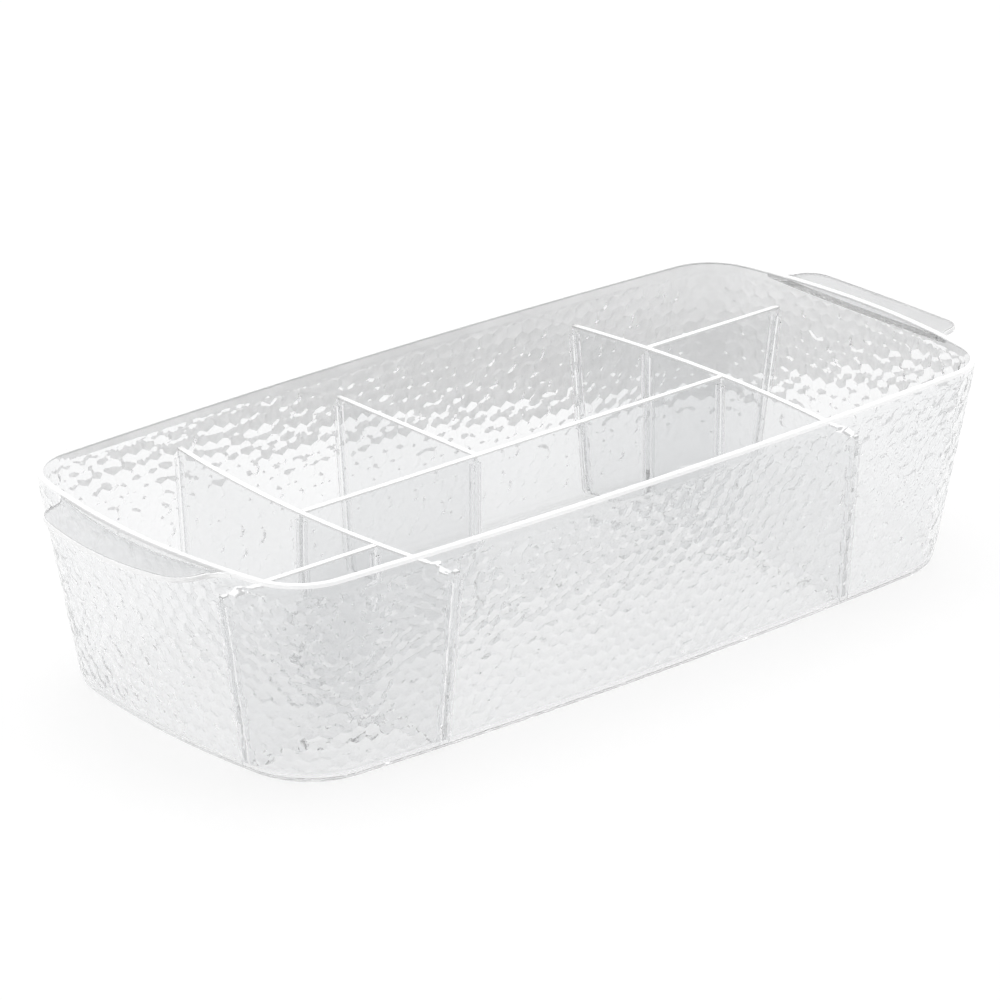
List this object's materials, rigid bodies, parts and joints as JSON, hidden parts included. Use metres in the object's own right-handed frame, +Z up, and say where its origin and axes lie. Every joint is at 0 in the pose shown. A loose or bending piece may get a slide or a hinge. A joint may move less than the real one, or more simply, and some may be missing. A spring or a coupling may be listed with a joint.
{
  "type": "vanity organizer",
  "caption": "Clear open bin with flared hammered walls and scooped end lips, divided by lift-out plates into compartments for cosmetics.",
  "frame": {"origin": "middle of the underside", "axes": "+X along the length to the right end in the picture, +Y to the rear wall, +Z up"},
  "size_m": [0.4264, 0.1826, 0.09],
  "materials": {
    "bin_plastic": "clear, polished inside and on the rim, hammered outside",
    "divider_plastic": "clear, polished"
  },
  "bodies": {
    "bin": {"bin": "bin_plastic"},
    "left_cross_divider": {"left_cross_divider": "divider_plastic"},
    "right_cross_divider": {"right_cross_divider": "divider_plastic"},
    "centre_divider": {"centre_divider": "divider_plastic"},
    "rear_short_divider": {"rear_short_divider": "divider_plastic"},
    "left_end_divider": {"left_end_divider": "divider_plastic"},
    "right_end_divider": {"right_end_divider": "divider_plastic"}
  },
  "joints": [
    {"name": "left_cross_divider_lift", "type": "slide", "parent": "bin", "child": "left_cross_divider", "axis": [0, 0, 1], "range_m": [0, 0.1]},
    {"name": "right_cross_divider_lift", "type": "slide", "parent": "bin", "child": "right_cross_divider", "axis": [0, 0, 1], "range_m": [0, 0.1]},
    {"name": "centre_divider_lift", "type": "slide", "parent": "bin", "child": "centre_divider", "axis": [0, 0, 1], "range_m": [0, 0.1]},
    {"name": "rear_short_divider_lift", "type": "slide", "parent": "bin", "child": "rear_short_divider", "axis": [0, 0, 1], "range_m": [0, 0.1]},
    {"name": "left_end_divider_lift", "type": "slide", "parent": "bin", "child": "left_end_divider", "axis": [0, 0, 1], "range_m": [0, 0.1]},
    {"name": "right_end_divider_lift", "type": "slide", "parent": "bin", "child": "right_end_divider", "axis": [0, 0, 1], "range_m": [0, 0.1]}
  ]
}
